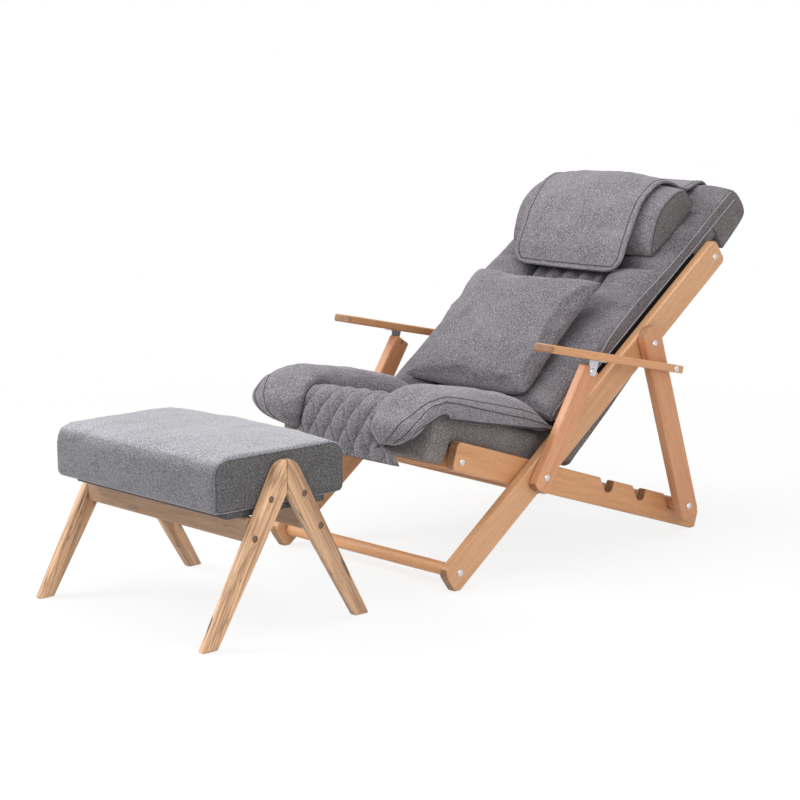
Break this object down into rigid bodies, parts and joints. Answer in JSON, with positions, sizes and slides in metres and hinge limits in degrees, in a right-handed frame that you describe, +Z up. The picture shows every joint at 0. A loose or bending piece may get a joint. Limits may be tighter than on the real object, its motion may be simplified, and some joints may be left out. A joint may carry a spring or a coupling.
{
  "type": "folding massage lounge chair with footstool",
  "caption": "Reclined folding wooden lounge chair with quilted grey massage pad, loose pillows, hinged armrests, notched prop frame and a matching A-frame footstool.",
  "frame": {"origin": "centre of the whole set's bounding box on the floor", "axes": "+Z up, the chair faces -Y with the footstool in front of it, +X is the sitter's left"},
  "size_m": [0.7092, 1.6778, 0.8285],
  "materials": {
    "beech": "clear satin lacquer",
    "ash": "clear satin lacquer, open grain",
    "plywood": "raw plywood",
    "steel": "nickel-plated",
    "zinc": "zinc-plated",
    "nylon": "black nylon",
    "grey_chenille": "short-pile mottled chenille",
    "light_chenille": "short-pile mottled chenille",
    "black_fabric": "black non-slip backing",
    "motor_case": "moulded case"
  },
  "bodies": {
    "base_frame": {"base_rail_left": "beech", "base_rail_right": "beech", "seat_front_rail": "beech", "seat_rear_rail": "beech", "seat_board": "plywood", "seat_cushion": "grey_chenille", "seat_pad": "grey_chenille", "seat_screw_left": "steel", "seat_screw_right": "steel", "pivot_bolt_left": "steel", "pivot_bolt_right": "steel", "pivot_washer_inner_left": "nylon", "pivot_washer_inner_right": "nylon", "pivot_washer_outer_left": "nylon", "pivot_washer_outer_right": "nylon"},
    "back_frame": {"back_rail_left": "beech", "back_rail_right": "beech", "foot_rod": "beech", "back_top_rod": "beech", "top_rod_screw_left": "steel", "top_rod_screw_right": "steel", "foot_rod_screw_left": "steel", "foot_rod_screw_right": "steel", "leg_pivot_bolt_left": "steel", "leg_pivot_bolt_right": "steel", "leg_washer_left": "nylon", "leg_washer_right": "nylon", "back_cushion": "grey_chenille", "head_cap": "grey_chenille", "pad_backing": "black_fabric", "massage_motor_lower": "motor_case", "massage_motor_upper": "motor_case", "back_pad": "grey_chenille", "head_pillow": "grey_chenille", "head_flap": "grey_chenille"},
    "lumbar_pillow_loose": {"lumbar_pillow": "grey_chenille"},
    "rear_prop": {"rear_leg_left": "beech", "rear_leg_right": "beech", "prop_crossbar": "beech", "crossbar_screw_left": "steel", "crossbar_screw_right": "steel"},
    "arm_posts": {"arm_post_left": "beech", "arm_post_right": "beech"},
    "armrests": {"armrest_left": "beech", "armrest_right": "beech", "arm_bracket_left": "zinc", "arm_bracket_right": "zinc", "arm_pivot_bolt_left": "steel", "arm_pivot_bolt_right": "steel", "armrest_bolt_left": "steel", "armrest_bolt_right": "steel"},
    "footstool": {"stool_leg_front_left": "ash", "stool_leg_front_right": "ash", "stool_leg_back_left": "ash", "stool_leg_back_right": "ash", "stool_rail_front": "ash", "stool_rail_back": "ash", "stool_panel": "plywood", "stool_cushion": "light_chenille"}
  },
  "joints": [
    {"name": "frame_fold", "type": "hinge", "parent": "base_frame", "child": "back_frame", "pos_m": [0, 0.09, 0.2138], "axis": [1, 0, 0], "range_deg": [-40, 0]},
    {"name": "prop_fold", "type": "hinge", "parent": "back_frame", "child": "rear_prop", "pos_m": [0, 0.44552, 0.47305], "axis": [1, 0, 0], "range_deg": [0, 98]},
    {"name": "post_fold", "type": "hinge", "parent": "back_frame", "child": "arm_posts", "pos_m": [0, 0.09, 0.2138], "axis": [1, 0, 0], "range_deg": [-17.64, 0]},
    {"name": "armrest_fold", "type": "hinge", "parent": "arm_posts", "child": "armrests", "pos_m": [0, 0.23172, 0.43202], "axis": [1, 0, 0], "range_deg": [0, 53.9]},
    {"name": "pillow_lift", "type": "slide", "parent": "back_frame", "child": "lumbar_pillow_loose", "axis": [0, -0.5892, 0.808], "range_m": [0, 0.12]},
    {"name": "stool_slide", "type": "slide", "parent": "base_frame", "child": "footstool", "axis": [0, 1, 0], "range_m": [-0.3, 0]}
  ],
  "couplings": [
    {"joint": "prop_fold", "follows": "frame_fold", "ratio": -2.45},
    {"joint": "post_fold", "follows": "frame_fold", "ratio": 0.441},
    {"joint": "armrest_fold", "follows": "frame_fold", "ratio": -1.3475}
  ]
}
